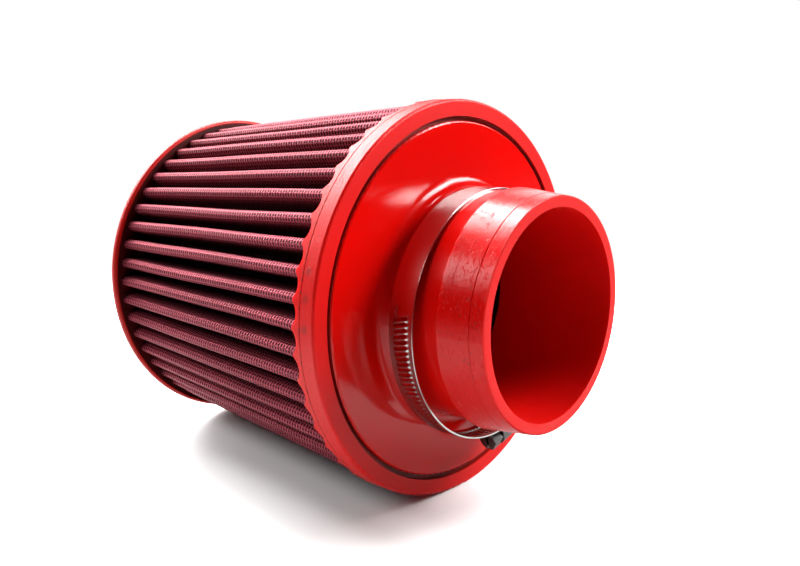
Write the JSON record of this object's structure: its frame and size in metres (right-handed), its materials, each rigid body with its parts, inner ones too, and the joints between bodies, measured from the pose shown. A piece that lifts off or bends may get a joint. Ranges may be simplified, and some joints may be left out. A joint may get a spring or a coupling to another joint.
{
  "type": "cone air filter",
  "caption": "Cone-shaped pleated intake air filter with moulded end caps, a clamp-on neck and a worm-drive hose clamp.",
  "frame": {"origin": "centre of the rear cap's flat outer face, on the plane the filter stands on", "axes": "+Z along the cone and the neck, out of the neck's mouth; +Y towards the side to which the loose clamp hangs; right-handed"},
  "size_m": [0.15, 0.15, 0.1775],
  "materials": {
    "polyurethane": "semi-gloss moulded red polyurethane",
    "coated_wire": "fine coated wire screen over the gauze, rose red",
    "oiled_gauze": "oiled cotton gauze, dark red",
    "clip_steel": "plain sheet steel",
    "stainless_band": "polished stainless strip",
    "stainless_stamping": "stamped stainless steel",
    "screw_steel": "zinc plated steel"
  },
  "bodies": {
    "filter": {"front_cap": "polyurethane", "rear_cap": "polyurethane", "outer_screen": "coated_wire", "gauze_media": "oiled_gauze", "inner_screen": "coated_wire", "seam_clip": "clip_steel", "clamp_band": "stainless_band", "clamp_housing": "stainless_stamping"},
    "screw": {"clamp_screw": "screw_steel"}
  },
  "joints": [
    {"name": "screw_turn", "type": "hinge", "parent": "filter", "child": "screw", "pos_m": [-0.01221, 0.05173, 0.14625], "axis": [0.9703, 0.2419, 0], "continuous": true}
  ]
}
